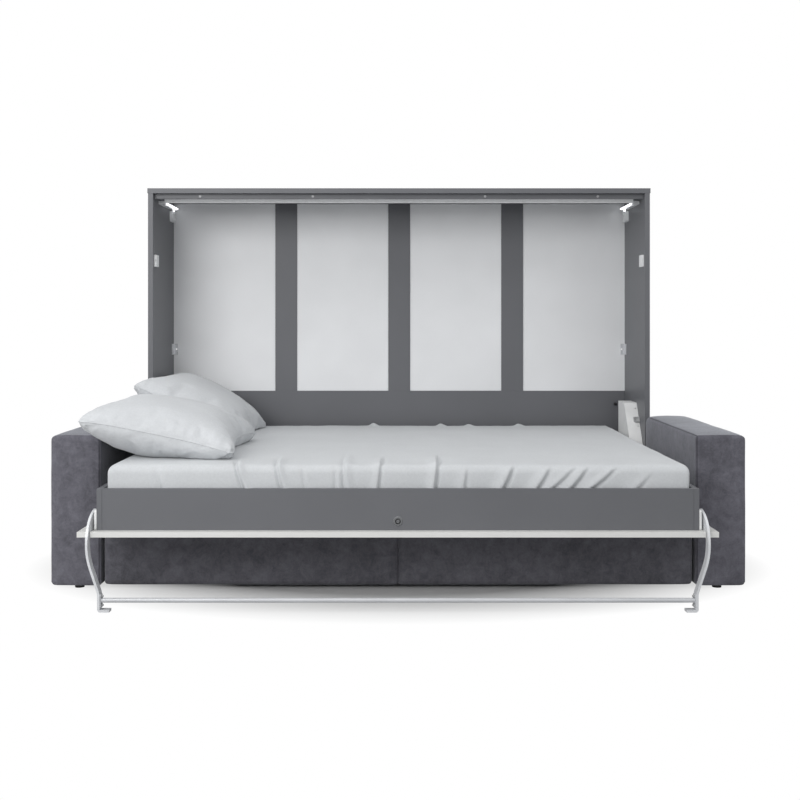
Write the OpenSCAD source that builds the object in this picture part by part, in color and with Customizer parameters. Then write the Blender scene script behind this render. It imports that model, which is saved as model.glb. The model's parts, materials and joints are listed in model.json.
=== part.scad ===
// Horizontal murphy wall bed with a low sofa under it, shown open.
// The bed turns about two hinge pins near the front of the cabinet, and its legs fold with it.
// X runs along the wall, Y into the wall, Z up. The origin is the middle of the footprint, on the floor.

/* [Mattress] */
// Length of the mattress, along the wall
mattress_l = 2000; // [1800:10:2100]
// Width of the mattress, out from the wall
mattress_w = 1400; // [1200:10:1500]
// Thickness of the mattress
mattress_t = 150; // [110:1:170]
// Corner radius of the mattress in plan
mattress_r = 45; // [20:1:80]

/* [Bed frame] */
// Thickness of the frame boards
frame_t = 18; // [15:1:25]
// Height of the frame boards
frame_h = 142; // [120:1:170]
// Gap from each end of the mattress to the frame
mattress_end_gap = 10; // [4:1:20]
// Gap from each long side of the mattress to the frame
mattress_side_gap = 3; // [2:1:10]
// Height of the slat bearers
bearer_h = 32; // [20:1:40]
// Width of the slat bearers
bearer_w = 24; // [16:1:40]
// Height of the bearers above the bottom of the frame
bearer_up = 24; // [14:1:30]
// Number of slats
slat_count = 16; // [10:1:20]
// Width of a slat
slat_w = 68; // [45:1:80]
// Thickness of a slat
slat_t = 12; // [8:1:16]

/* [Front panel] */
// Height of the front panel above the floor when the bed is open
panel_z = 248; // [230:1:280]
// Thickness of the front panel
panel_t = 18; // [15:1:22]
// How far the front panel stands out past the frame
panel_ledge = 32; // [24:1:50]
// How far the back edge of the front panel lies inside the frame's back
panel_inset = 8; // [0:1:30]
// Gap from the front panel to each cabinet side
panel_side_gap = 2; // [2:0.5:4]
// Gap above the front panel when the bed is closed
closed_gap = 3; // [2:0.5:6]
// How far the closed front panel is set back from the cabinet's front
closed_setback = 2; // [1:0.5:8]

/* [Cabinet] */
// Thickness of the cabinet's sides and top
board_t = 22; // [18:1:28]
// Depth from the cabinet's front to its back frame
inner_d = 415; // [408:1:450]
// Space beside the bed frame for the mechanism
mech_w = 60; // [58:1:80]
// How far the top board stands out past each side
top_overhang = 3; // [0:1:10]
// Thickness of the back stiles and back rail
stile_t = 22; // [16:1:28]
// Width of the back stiles
stile_w = 105; // [60:1:150]
// Distance from the centre stile to the next one
stile_pitch = 545; // [480:1:600]
// Thickness of the white back panels
back_panel_t = 8; // [4:1:12]
// How far the back panels lie behind the stiles' front
back_panel_recess = 4; // [1:1:8]
// Height of the back rail's top edge
back_rail_top = 647; // [560:1:720]
// Height of the floor rail at the back of the cabinet
base_rail_h = 45; // [30:1:50]
// Depth of the floor rail
base_rail_d = 60; // [40:1:100]
// Depth of the top rail that carries the light
top_rail_d = 18; // [14:1:22]
// Height of the top rail
top_rail_h = 22; // [16:1:26]
// Gap from the closed front panel to the top rail
top_rail_gap = 4; // [2:1:40]
// Diameter of the screw heads in the top rail
screw_d = 11; // [8:1:14]
// Distance of the outer screws from the middle
screw_x_outer = 884; // [700:1:950]
// Distance of the inner screws from the middle
screw_x_inner = 383; // [200:1:500]

/* [Light] */
// Depth of the light rail
light_d = 12; // [8:1:14]
// Gap from the top rail to the light rail
light_gap = 65; // [2:1:75]
// Clearance between the closed bed and the light rail
light_clear = 5; // [4:1:12]
// Gap from the light's side arms to the back frame
arm_light_back_gap = 18; // [12:1:150]
// Width of the white body of each light arm
arm_body_w = 19; // [12:1:24]
// Width of the diffuser of each light arm
diffuser_w = 8; // [5:1:20]
// Height of the diffuser
diffuser_h = 5; // [3:1:8]
// Height of each light arm
arm_light_h = 14; // [12:1:16]

/* [Hinge] */
// Distance from the cabinet's front to the hinge axis
pivot_y = 109; // [100:1:120]
// Diameter of the hinge pin
pin_d = 16; // [12:1:18]
// Clearance round the hinge pin
pin_clear = 0.05; // [0.02:0.01:0.1]
// Outer diameter of the hinge hub
hub_d = 26; // [24:1:32]
// Thickness of the hinge arm plate
arm_plate_t = 3; // [2:0.5:3]
// Thickness of the plate on the cabinet side
root_plate_t = 3; // [2:0.5:5]
// Distance from the hinge axis to the gas spring's lower pin
crank_r = 60; // [45:1:64]
// Diameter of the gas spring's lower pin
crank_pin_d = 12; // [8:1:12]

/* [Gas spring] */
// Height of the gas spring's upper stud above the hinge axis
stud_up = 220; // [205:1:225]
// Distance of the gas spring's upper stud behind the hinge axis
stud_back = 106; // [90:1:120]
// Diameter of the upper stud
stud_d = 10; // [8:1:12]
// Diameter of the gas cylinder
cyl_d = 22; // [20:1:26]
// Wall of the gas cylinder
cyl_wall = 2; // [1.5:0.1:3]
// Length of the gas cylinder below its eye
cyl_l = 133; // [128:1:140]
// Diameter of the piston rod
rod_d = 8; // [6:0.5:8.5]
// Thickness of the rod's and the cylinder's eyes
eye_t = 9; // [9:0.5:12]

/* [Mechanism cover] */
// Wall of the sheet metal cover
cover_wall = 2; // [1.5:0.1:3]
// Height of the cover's top above the hinge axis
cover_up = 254; // [245:1:280]
// Distance from the hinge axis to the cover's back face
cover_back = 184; // [170:1:200]
// Depth of the cover's flat top
cover_top_d = 129; // [100:1:140]
// Height of the slope's lower end above the hinge axis
slope_low_up = 54; // [40:1:90]

/* [Catch] */
// Diameter of the catch's button
catch_button_d = 20; // [12:1:24]
// Diameter of the ring round the button
catch_ring_d = 34; // [30:1:44]
// How far the ring stands out of the board
catch_proud = 3; // [1:0.5:5]
// How far the button can be pressed in
catch_travel = 6; // [2:1:8]
// Height of the catch above the bottom of the frame
catch_up = 31; // [22:1:60]

/* [Legs] */
// Thickness of the leg's flat bar
leg_t = 8; // [6:1:10]
// Width of the leg's flat bar
leg_w = 30; // [26:1:50]
// How far the leg stands out past the frame's front
leg_out = 53; // [48:1:60]
// Distance from the frame's front back to the leg's pivot
leg_pivot_in = 43; // [38:1:50]
// Height of the leg's pivot above the front panel
leg_pivot_up = 19; // [16:1:24]
// Thickness of the leg bracket
bracket_t = 8; // [6:1:10]
// Side gap between the bracket and the leg
leg_gap = 7.5; // [1:0.5:9]
// Diameter of the leg's pivot pin
leg_pin_d = 12; // [8:1:14]
// Slope of the leg's lower part, in degrees
leg_slope = 18.5; // [10:0.5:22]
// Length of the foot, inwards
foot_l = 32; // [25:1:60]
// Diameter of the tube between the legs
tube_d = 16; // [12:1:24]
// Height of the tube's middle above the floor
tube_z = 38; // [34:1:44]

/* [Sofa] */
// Width of an armrest
arm_w = 183; // [120:1:220]
// Height of an armrest
arm_h = 561; // [450:1:600]
// Distance from the cabinet's front to the armrests' front
sofa_d = 791; // [700:1:820]
// How far the seats lie behind the armrests' front
seat_recess = 4; // [0:1:20]
// Gap from the seats' top to the open front panel
seat_gap = 12; // [8:1:30]
// Gap from the front panel's edge to an armrest
arm_gap = 3; // [2:0.5:8]
// Height of the glides
glide_h = 12; // [8:1:25]
// Diameter of the glides
glide_d = 34; // [25:1:50]
// Corner radius of the sofa pieces
sofa_r = 12; // [6:1:20]
// Corner radius of the seats seen from the front
seat_r = 20; // [8:1:24]

/* [Pillows] */
// Length of a pillow, across the bed
pillow_l = 630; // [500:1:650]
// Width of a pillow, along the bed
pillow_w = 555; // [450:1:560]
// Thickness of a pillow at its middle
pillow_t = 205; // [120:1:210]

/* [Hidden] */
$fn = 48;
touch = 0.3; // gap between soft pieces that rest on each other
seat_fit = 0.3; // gap between metal pieces that lie side by side
frame_back_room = 22; // room for the frame's back corner as it swings
stop_below_top = 323; // from the top board down to the closing stops
bolt_below_tube = 16;
bolt_above_tube = 14;

// bed frame
frame_half = mattress_l / 2 + mattress_end_gap + frame_t;
frame_back_y = inner_d - frame_back_room;
frame_len_y = mattress_w + 2 * mattress_side_gap + 2 * frame_t;
frame_front_y = frame_back_y - frame_len_y;
frame_z = panel_z + panel_t;
panel_front_y = frame_front_y - panel_ledge;
panel_back_y = frame_back_y - panel_inset;
bearer_z = frame_z + bearer_up;
slat_z = bearer_z + bearer_h;
mattress_z = slat_z + slat_t;
mattress_top = mattress_z + mattress_t;
mattress_front_y = frame_front_y + frame_t + mattress_side_gap;
catch_z = frame_z + catch_up;

// cabinet, sized so that the closed bed fills it
inner_half = frame_half + mech_w;
outer_half = inner_half + board_t;
panel_half = inner_half - panel_side_gap;
pivot_z = pivot_y + panel_z - closed_setback;
top_z = pivot_z + pivot_y - panel_front_y + closed_gap;
top_rail_y = closed_setback + panel_t + top_rail_gap;
light_y = top_rail_y + top_rail_d + light_gap;
light_z = top_z - closed_gap - panel_ledge + light_clear;
cabinet_h = top_z + board_t;
back_y = inner_d + stile_t;
stile_xs = [-stile_pitch, 0, stile_pitch];
stop_z = top_z - stop_below_top;

// hinge and gas spring
arm_x = frame_half + arm_plate_t;
cover_x = arm_x + 0.5;
root_plate_x = inner_half - root_plate_t;
hub_x = arm_x + 9;
crank_angle = 45;
crank_dy = crank_r * cos(crank_angle);
crank_dz = crank_r * sin(crank_angle);
crank_pin_x = arm_x + 10;
strut_x = crank_pin_x + 1.5 + eye_t / 2;
strut_tilt = atan2(stud_back - crank_dy, stud_up - crank_dz);
strut_len = norm([stud_back - crank_dy, stud_up - crank_dz]);
window_r = crank_r + crank_pin_d / 2 + 12;
sweep_r = pivot_z - frame_z - 4;

// legs
bracket_x = frame_half + bracket_t;
leg_x = bracket_x + leg_gap;
leg_outer_x = leg_x + leg_t;
leg_pivot_y = frame_front_y + leg_pivot_in;
leg_pivot_z = frame_z + leg_pivot_up;
leg_front_y = frame_front_y - leg_out;
leg_reach = leg_pivot_in + leg_out;
leg_bend_z = leg_pivot_z - 60;
leg_arc_r = 250;
ankle_r = 30;
foot_r = 10;
ankle_z = 58;
leg_x_mid = leg_x + leg_t / 2;
arc_drop = leg_arc_r * sin(leg_slope);
arc_in = leg_arc_r * (1 - cos(leg_slope));
ankle_drop = ankle_r * sin(leg_slope);
ankle_in = ankle_r * (1 - cos(leg_slope));
slope_drop = leg_bend_z - ankle_z - arc_drop - ankle_drop;
slope_in = slope_drop * tan(leg_slope);
shin_x = leg_x_mid - arc_in - slope_in - ankle_in;
shin_inner_x = shin_x - leg_t / 2;
leg_mid_y = leg_front_y + leg_w / 2;
slot_back = 38; // how far each leg's slot runs behind the leg's pivot
slot_y = leg_pivot_y + slot_back;

// sofa
arm_x0 = panel_half + arm_gap;
seat_top = panel_z - seat_gap;
seat_front_y = -sofa_d + seat_recess;

// whole part
shift_y = -(leg_front_y + back_y) / 2;

grey = [0.27, 0.275, 0.29];
white = [0.86, 0.87, 0.86];
steel = [0.72, 0.74, 0.76];
velvet = [0.27, 0.27, 0.30];
cotton = [0.80, 0.82, 0.84];
oak = [0.76, 0.64, 0.46];

// ---- helpers ----

// Moves the cabinet's own frame, whose front is at y = 0, to the part's frame.
module placed() {
    translate([0, shift_y, 0]) children();
}

// Draws its children on the right (+1) or mirrored to the left (-1).
module on_side(side) {
    mirror([side < 0 ? 1 : 0, 0, 0]) children();
}

module both_sides() {
    on_side(1) children();
    on_side(-1) children();
}

// A box from its low corner to its high corner.
module block(low, high) {
    translate(low) cube(high - low);
}

// A rectangle from its low corner to its high corner, with round corners.
module round_rect(low, high, r) {
    size = high - low;
    translate(low + [r, 0]) square([size[0] - 2 * r, size[1]]);
    translate(low + [0, r]) square([size[0], size[1] - 2 * r]);
    for (x = [low[0] + r, high[0] - r], y = [low[1] + r, high[1] - r])
        translate([x, y]) circle(r);
}

// A cylinder along X, Y or Z from one value to another.
module rod_x(d, x0, x1, y, z) {
    translate([x0, y, z]) rotate([0, 90, 0]) cylinder(d = d, h = x1 - x0);
}

module rod_y(d, x, y0, y1, z) {
    translate([x, y0, z]) rotate([-90, 0, 0]) cylinder(d = d, h = y1 - y0);
}

// An outline in Y and Z, extruded along X from x0 to x1.
module plate_x(x0, x1) {
    translate([x0, 0, 0]) rotate([90, 0, 90]) linear_extrude(height = x1 - x0) children();
}

// An outline in X and Z, extruded along Y from y0 to y1.
module plate_y(y0, y1) {
    translate([0, y1, 0]) rotate([90, 0, 0]) linear_extrude(height = y1 - y0) children();
}

// A box with round corners in the front view and in plan.
module soft_box(low, high, front_r, plan_r) {
    intersection() {
        plate_y(low[1], high[1]) round_rect([low[0], low[2]], [high[0], high[2]], front_r);
        translate([0, 0, low[2]]) linear_extrude(height = high[2] - low[2])
            round_rect([low[0], low[1]], [high[0], high[1]], plan_r);
    }
}

// ---- cabinet ----

module side_panel(side) {
    color(grey) placed() on_side(side)
        block([inner_half, 0, 0], [outer_half, back_y, top_z]);
}

module top_board() {
    color(grey) placed()
        block([-outer_half - top_overhang, 0, top_z], [outer_half + top_overhang, back_y, cabinet_h]);
}

module base_rail() {
    color(grey) placed()
        block([-inner_half, inner_d - base_rail_d, 0], [inner_half, inner_d, base_rail_h]);
}

module back_rail() {
    color(grey) placed()
        block([-inner_half, inner_d, 0], [inner_half, back_y, back_rail_top]);
}

module back_stile(x) {
    color(grey) placed()
        block([x - stile_w / 2, inner_d, back_rail_top], [x + stile_w / 2, back_y, top_z]);
}

corner_h = 52; // height of the lower corner bracket
corner_up = 175; // height of the lower corner bracket above the back rail
corner_z = back_rail_top + corner_up;
wall_hole_d = 7;
wall_hole_x = inner_half - 14;
wall_hole_z = corner_z + corner_h / 2;
back_panel_y = inner_d + back_panel_recess;

// One of the four white back panels, from x0 to x1. The outer ones have a hole for the wall screw.
module back_panel(x0, x1) {
    color(white) placed() difference() {
        block([x0, back_panel_y, back_rail_top], [x1, back_panel_y + back_panel_t, top_z]);
        for (side = [-1, 1])
            rod_y(wall_hole_d, side * wall_hole_x, back_panel_y - 1, back_y, wall_hole_z);
    }
}

module top_rail() {
    color(grey) placed()
        block([-inner_half, top_rail_y, top_z - top_rail_h], [inner_half, top_rail_y + top_rail_d, top_z]);
}

module rail_screws() {
    color(steel) placed()
        for (x = [-screw_x_outer, -screw_x_inner, screw_x_inner, screw_x_outer])
            difference() {
                rod_y(screw_d, x, top_rail_y - 2.5, top_rail_y, top_z - top_rail_h / 2);
                rod_y(screw_d * 0.4, x, top_rail_y - 3, top_rail_y - 1.2, top_z - top_rail_h / 2);
            }
}

light_x1 = inner_half - arm_body_w - diffuser_w;

// A slim aluminium profile under the top board, with a groove along its bottom.
module light_rail() {
    color(steel) placed() difference() {
        block([-light_x1, light_y, light_z], [light_x1, light_y + light_d, top_z]);
        block([-light_x1 + 8, light_y + 3, light_z - 1], [light_x1 - 8, light_y + light_d - 3, light_z + 2]);
    }
}

arm_light_z = light_z - 6;
arm_light_y1 = inner_d - arm_light_back_gap;
light_end_l = 29; // length of the arm's solid front end
diffuser_up = 7; // height of the diffuser above the arm's underside
drop_in = 80; // distance of the diffuser's lit drop from the arm's far end
drop_l = 9;
drop_h = 19;

// A light arm on the cabinet side: a solid front end, and a body that carries the diffuser.
module light_arm(side) {
    color(white) placed() on_side(side) {
        block([light_x1, light_y, arm_light_z],
              [inner_half, light_y + light_end_l, arm_light_z + arm_light_h]);
        block([light_x1 + diffuser_w, light_y + light_end_l, arm_light_z],
              [inner_half, arm_light_y1, arm_light_z + arm_light_h]);
    }
}

module light_diffusers() {
    low = arm_light_z + diffuser_up;
    color("white") placed() both_sides() {
        block([light_x1, light_y + light_end_l, low],
              [light_x1 + diffuser_w, arm_light_y1, low + diffuser_h]);
        block([light_x1, arm_light_y1 - drop_in - drop_l, low - drop_h],
              [light_x1 + diffuser_w - 1, arm_light_y1 - drop_in, low]);
    }
}

hanger_w = 14;
hanger_h = 52;
hanger_l = 70;
hanger_back_gap = 15;
hanger_below_top = 92;
hanger_y0 = inner_d - hanger_back_gap - hanger_l;
hanger_y1 = inner_d - hanger_back_gap;
hanger_z = top_z - hanger_below_top;

// The adjustable cabinet hanger: a rounded case with a recessed screw in its face.
module hanger_bracket(side) {
    face = inner_half - hanger_w;
    color(white) placed() on_side(side) difference() {
        plate_x(inner_half - hanger_w, inner_half)
            round_rect([hanger_y0, hanger_z], [hanger_y1, hanger_z + hanger_h], 10);
        rod_x(24, face - 1, face + 4, hanger_y0 + hanger_l * 0.35, hanger_z + hanger_h / 2);
        rod_x(9, face - 1, face + 7, hanger_y0 + hanger_l * 0.8, hanger_z + hanger_h / 2);
    }
}

corner_t = 3; // thickness of the corner bracket
corner_leg_side = 44; // leg on the cabinet side
corner_leg_back = 20; // leg on the back panel

// A steel angle: one leg on the cabinet side, and one with a hole for the screw into the wall.
module corner_bracket(side) {
    color(steel) placed() on_side(side) difference() {
        union() {
            block([inner_half - corner_t, back_panel_y - corner_leg_side, corner_z],
                  [inner_half, back_panel_y, corner_z + corner_h]);
            block([inner_half - corner_leg_back, back_panel_y - corner_t, corner_z],
                  [inner_half, back_panel_y, corner_z + corner_h]);
        }
        rod_y(wall_hole_d, wall_hole_x, back_panel_y - corner_t - 1, back_panel_y + 1, wall_hole_z);
        for (z = [0.25, 0.75])
            rod_x(5, inner_half - corner_t - 1, inner_half + 1,
                  back_panel_y - corner_leg_side / 2, corner_z + corner_h * z);
    }
}

stop_w = 10;
stop_d = 48;
stop_h = 52;

// The stops that the closed front panel meets, one on each cabinet side.
module closing_stops() {
    color(steel) placed() both_sides() difference() {
        block([inner_half - stop_w, closed_setback + panel_t + 2, stop_z],
              [inner_half, closed_setback + panel_t + 2 + stop_d, stop_z + stop_h]);
        rod_y(8, inner_half - stop_w / 2,
              closed_setback + panel_t, closed_setback + panel_t + 8, stop_z + stop_h / 2);
    }
}

gland_d = 15;
gland_x = frame_half + 13;
gland_below = 63; // its drop below the back rail's top edge
gland_z = back_rail_top - gland_below;

module cable_gland() {
    color([0.05, 0.05, 0.06]) placed() {
        rod_y(gland_d, gland_x, inner_d - gland_d / 2, inner_d, gland_z);
        translate([gland_x, inner_d - gland_d / 2, gland_z]) sphere(d = gland_d - 2);
    }
}

// ---- hinge mechanism ----

// The cover's side outline. The low front corner is an arc clear of the front panel as it swings.
function cover_outline(inset) = concat(
    [[pivot_y + cover_back - inset, pivot_z + cover_up - inset]],
    [[pivot_y + cover_back - inset, pivot_z - sweep_r + inset]],
    [for (a = [270:-10:180]) [pivot_y + (sweep_r - inset) * cos(a), pivot_z + (sweep_r - inset) * sin(a)]],
    [[pivot_y - sweep_r + inset, pivot_z + slope_low_up - inset * 0.3]],
    [[pivot_y + cover_back - cover_top_d + inset * 0.5, pivot_z + cover_up - inset]]
);

module mechanism_cover(side) {
    color(white) placed() on_side(side) difference() {
        plate_x(cover_x, inner_half) polygon(cover_outline(0));
        plate_x(cover_x + cover_wall, inner_half + 1) polygon(cover_outline(cover_wall));
        rod_x(window_r * 2, cover_x - 1, cover_x + cover_wall + 1, pivot_y, pivot_z);
        cover_screw_holes();
    }
}

// Small holes down the slope of the cover, near the cabinet side, for the screws that hold it.
module cover_screw_holes() {
    low = [pivot_y - sweep_r, pivot_z + slope_low_up];
    high = [pivot_y + cover_back - cover_top_d, pivot_z + cover_up];
    along = high - low;
    tilt = atan2(along[0], along[1]);
    for (share = [0.12, 0.5, 0.88])
        translate([inner_half - 8, low[0] + along[0] * share, low[1] + along[1] * share])
            rotate([tilt * -1, 0, 0]) rotate([90, 0, 0]) cylinder(d = 5, h = 12, center = true);
}

clip_w = 26;
clip_h = 25;
clip_t = 11;
clip_groove = 4;
clip_rim = 4;

// The small moulded clip on each cover's slope.
module cover_clips() {
    low = [pivot_y - sweep_r, pivot_z + slope_low_up];
    high = [pivot_y + cover_back - cover_top_d, pivot_z + cover_up];
    along = high - low;
    tilt = atan2(along[0], along[1]);
    middle = low + along * 0.62;
    color(white) placed() both_sides()
        translate([inner_half - clip_w - touch, middle[0], middle[1]]) rotate([-tilt, 0, 0]) difference() {
            plate_y(-clip_t, 0)
                polygon([[0, clip_h / 2], [clip_w, clip_h / 2], [clip_w, -clip_h / 2],
                         [clip_w / 3, -clip_h / 2], [0, -clip_h / 4]]);
            block([clip_rim, -clip_t - 1, clip_h / 2 - clip_rim - clip_groove],
                  [clip_w - 2 * clip_rim, -clip_t / 3, clip_h / 2 - clip_rim]);
            block([clip_rim, -clip_t - 1, -clip_h / 4],
                  [clip_rim + clip_groove, -clip_t / 3, clip_h / 2 - clip_rim]);
        }
}

// The steel plate on the cabinet side, with the stud that holds the gas spring.
module hinge_plate(side) {
    color(steel) placed() on_side(side) difference() {
        union() {
            plate_x(root_plate_x, inner_half) polygon(cover_outline(cover_wall + seat_fit));
            rod_x(stud_d, strut_x - eye_t / 2 - 3, root_plate_x, pivot_y + stud_back, pivot_z + stud_up);
            rod_x(stud_d + 8, strut_x + cyl_d / 2 + 1, root_plate_x, pivot_y + stud_back, pivot_z + stud_up);
        }
        rod_x(pin_d + 1, root_plate_x - 1, inner_half + 1, pivot_y, pivot_z);
    }
}

// The pins that the bed turns on, each with a flange against its plate.
module hinge_pins() {
    inner_x = frame_half - frame_t;
    color(steel) placed() both_sides() {
        rod_x(pin_d, inner_x, inner_half - 0.5, pivot_y, pivot_z);
        rod_x(pin_d + 18, root_plate_x - 4, root_plate_x, pivot_y, pivot_z);
    }
}

arm_plate_l = 190; // length of the hinge arm along the frame
arm_plate_h = 84; // height of the hinge arm

// The plate on the bed's end board, with its hinge hub and the pin for the gas spring.
module hinge_arm(side) {
    color(steel) placed() on_side(side) difference() {
        union() {
            plate_x(frame_half, arm_x)
                round_rect([pivot_y - 50, pivot_z - 30],
                           [pivot_y - 50 + arm_plate_l, pivot_z - 30 + arm_plate_h], 8);
            rod_x(hub_d, frame_half - frame_t, hub_x, pivot_y, pivot_z);
            rod_x(crank_pin_d, frame_half, crank_pin_x, pivot_y + crank_dy, pivot_z + crank_dz);
        }
        rod_x(pin_d + 2 * pin_clear, frame_half - frame_t - 1, hub_x + 1, pivot_y, pivot_z);
    }
}

// Places a gas spring piece, drawn hanging down from the stud, at its angle.
module strut_frame() {
    translate([strut_x, pivot_y + stud_back, pivot_z + stud_up]) rotate([-strut_tilt, 0, 0]) children();
}

eye_d = 22; // outer diameter of both eyes
cyl_cap = 12; // solid end of the cylinder
guide_l = 8; // length of the rod guide at the cylinder's mouth
piston_l = 6;
piston_gap = 4; // gap above the piston when the rod is in

module gas_cylinder(side) {
    color([0.12, 0.12, 0.13]) placed() on_side(side) strut_frame() difference() {
        union() {
            rod_x(eye_d, -eye_t / 2, eye_t / 2, 0, 0);
            translate([0, 0, -cyl_l]) cylinder(d = cyl_d, h = cyl_l - 9);
        }
        rod_x(stud_d + 2 * pin_clear, -cyl_d, cyl_d, 0, 0);
        block([eye_t / 2, -cyl_d, -10], [cyl_d, cyl_d, cyl_d]);
        block([-cyl_d, -cyl_d, -10], [-eye_t / 2, cyl_d, cyl_d]);
        translate([0, 0, -cyl_l + guide_l])
            cylinder(d = cyl_d - 2 * cyl_wall, h = cyl_l - guide_l - 9 - cyl_cap);
        translate([0, 0, -cyl_l - 1]) cylinder(d = rod_d + 2 * pin_clear, h = guide_l + 2);
    }
}

module gas_rod(side) {
    piston_top = -(9 + cyl_cap + piston_gap);
    color(steel) placed() on_side(side) strut_frame() difference() {
        union() {
            translate([0, 0, piston_top - piston_l])
                cylinder(d = cyl_d - 2 * cyl_wall - 2 * pin_clear, h = piston_l);
            translate([0, 0, -strut_len]) cylinder(d = rod_d, h = strut_len + piston_top - 1);
            rod_x(eye_d, -eye_t / 2, eye_t / 2, 0, -strut_len);
        }
        rod_x(crank_pin_d + 0.6, -eye_t, eye_t, 0, -strut_len);
    }
}

// ---- bed ----

slot_side_gap = 1.5; // clearance on each side of a leg in its slot

// The white panel under the open bed. A slot near each front corner lets the leg fold through.
module front_panel() {
    slot_x0 = leg_x - slot_side_gap;
    slot_x1 = leg_outer_x + slot_side_gap;
    color(white) placed() difference() {
        block([-panel_half, panel_front_y, panel_z], [panel_half, panel_back_y, frame_z]);
        both_sides()
            block([slot_x0, panel_front_y - 1, panel_z - 1], [slot_x1, slot_y, frame_z + 1]);
    }
}

frame_joint = 0.4; // gap at each end of the front board
end_proud = 1; // how far the end boards stand in front of it

// The frame's long boards stand between its end boards.
module frame_front_board() {
    color(grey) placed() difference() {
        block([frame_joint + frame_t - frame_half, frame_front_y, frame_z],
              [frame_half - frame_t - frame_joint, frame_front_y + frame_t, frame_z + frame_h]);
        rod_y(catch_button_d + 4, 0, frame_front_y - 1, frame_front_y + frame_t + 1, catch_z);
    }
}

module frame_back_board() {
    color(grey) placed()
        block([frame_t - frame_half, frame_back_y - frame_t, frame_z],
              [frame_half - frame_t, frame_back_y, frame_z + frame_h]);
}

module frame_end(side) {
    color(grey) placed() on_side(side) difference() {
        block([frame_half - frame_t, frame_front_y - end_proud, frame_z],
              [frame_half, frame_back_y, frame_z + frame_h]);
        rod_x(hub_d + 0.4, frame_half - frame_t - 1, frame_half + 1, pivot_y, pivot_z);
    }
}

// Bearers along both long boards, with a gap at the catch, and a beam along the middle.
module slat_bearers() {
    x1 = frame_half - frame_t;
    y0 = frame_front_y + frame_t;
    y1 = frame_back_y - frame_t;
    middle = (y0 + y1) / 2;
    color(oak) placed() {
        both_sides() block([60, y0, bearer_z], [x1, y0 + bearer_w, slat_z]);
        block([-x1, y1 - bearer_w, bearer_z], [x1, y1, slat_z]);
        block([-x1, middle - bearer_w / 2, frame_z], [x1, middle + bearer_w / 2, slat_z]);
    }
}

module slats() {
    x1 = frame_half - frame_t - 12;
    pitch = (2 * x1 - slat_w) / (slat_count - 1);
    color(oak) placed()
        for (i = [0 : slat_count - 1])
            block([-x1 + i * pitch, frame_front_y + frame_t + 1, slat_z],
                  [-x1 + i * pitch + slat_w, frame_back_y - frame_t - 1, mattress_z]);
}

module mattress() {
    color(cotton) placed()
        soft_box([-mattress_l / 2, mattress_front_y, mattress_z],
                 [mattress_l / 2, mattress_front_y + mattress_w, mattress_top], 28, mattress_r);
}

// A stuffed pillow: a hull over its four corners and its full middle.
module pillow_form(w, l, t) {
    corner_r = 9;
    hull() {
        for (x = [-1, 1], y = [-1, 1])
            translate([x * (w / 2 - corner_r), y * (l / 2 - corner_r), 0]) sphere(corner_r, $fn = 12);
        scale([w * 0.34 / (t / 2), l * 0.36 / (t / 2), 1]) sphere(t / 2, $fn = 32);
    }
}

// What a pillow rests on: the mattress, the armrest and the mechanism cover.
module pillow_rests() {
    far = 2 * inner_half;
    block([-far, -far, 0], [0, back_y, mattress_top + touch]);
    block([-far, -far, 0], [-arm_x0 + touch, 0, arm_h + touch]);
    block([-far, -2, 0], [-cover_x + touch, back_y, pivot_z + cover_up + touch]);
    block([-far, -2, 0], [-inner_half + touch, back_y, cabinet_h]);
}

pillow_tilt = 12.5; // the front pillow leans on the armrest
pillow_in = 130; // from the mattress's end to a pillow's middle
pillow_back_from_edge = 468; // from the mattress's front edge to the front pillow's middle
pillow_up = 100; // height of the front pillow's middle above the mattress
pillow_back_in = 340; // from the mattress's back edge to the back pillow's middle
pillow_back_tilt = 22; // the back pillow leans on the mechanism cover
pillow_back_yaw = -4;
pillow_back_up = 132;
pillow_back_share = 0.93; // the back pillow is squeezed a little by the front one

module pillow_front_at() {
    translate([-mattress_l / 2 + pillow_in,
               mattress_front_y + pillow_back_from_edge, mattress_top + pillow_up])
        rotate([0, pillow_tilt, 0]) children();
}

module pillow_front() {
    color(cotton) placed() difference() {
        pillow_front_at() pillow_form(pillow_w, pillow_l, pillow_t);
        pillow_rests();
    }
}

module pillow_back() {
    color(cotton) placed() difference() {
        translate([-mattress_l / 2 + pillow_in, mattress_front_y + mattress_w - pillow_back_in,
                   mattress_top + pillow_back_up])
            rotate([0, 0, pillow_back_yaw]) rotate([0, pillow_back_tilt, 0])
                pillow_form(pillow_w * pillow_back_share, pillow_l * pillow_back_share, pillow_t);
        pillow_rests();
        pillow_front_at() pillow_form(pillow_w + 2 * touch, pillow_l + 2 * touch, pillow_t + 2 * touch);
    }
}

// ---- spring catch in the front board ----

// The catch's cup: a raised ring on the board and a blind housing let into it.
module catch_ring() {
    color([0.34, 0.35, 0.36]) placed() difference() {
        union() {
            translate([0, frame_front_y, catch_z]) rotate([90, 0, 0])
                cylinder(d1 = catch_ring_d, d2 = catch_ring_d - 6, h = catch_proud);
            rod_y(catch_button_d + 3.4, 0, frame_front_y, frame_front_y + frame_t, catch_z);
        }
        rod_y(catch_button_d, 0, frame_front_y - catch_proud - 1, frame_front_y + frame_t - 2, catch_z);
    }
}

catch_groove = 5; // depth of the ring-shaped groove in the button's face

// The button that springs out of the cup.
module catch_button() {
    front = frame_front_y - catch_proud + 1;
    color([0.42, 0.43, 0.44]) placed() difference() {
        rod_y(catch_button_d - 2 * pin_clear, 0,
              front, frame_front_y + frame_t - 2 - catch_travel - touch, catch_z);
        rod_y(4, 0, front - 1, front + 3, catch_z);
        difference() {
            rod_y(catch_button_d - 2, 0, front - 1, front + catch_groove, catch_z);
            rod_y(catch_button_d / 2, 0, front - 2, front + catch_groove + 1, catch_z);
        }
    }
}

// ---- legs ----

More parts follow.
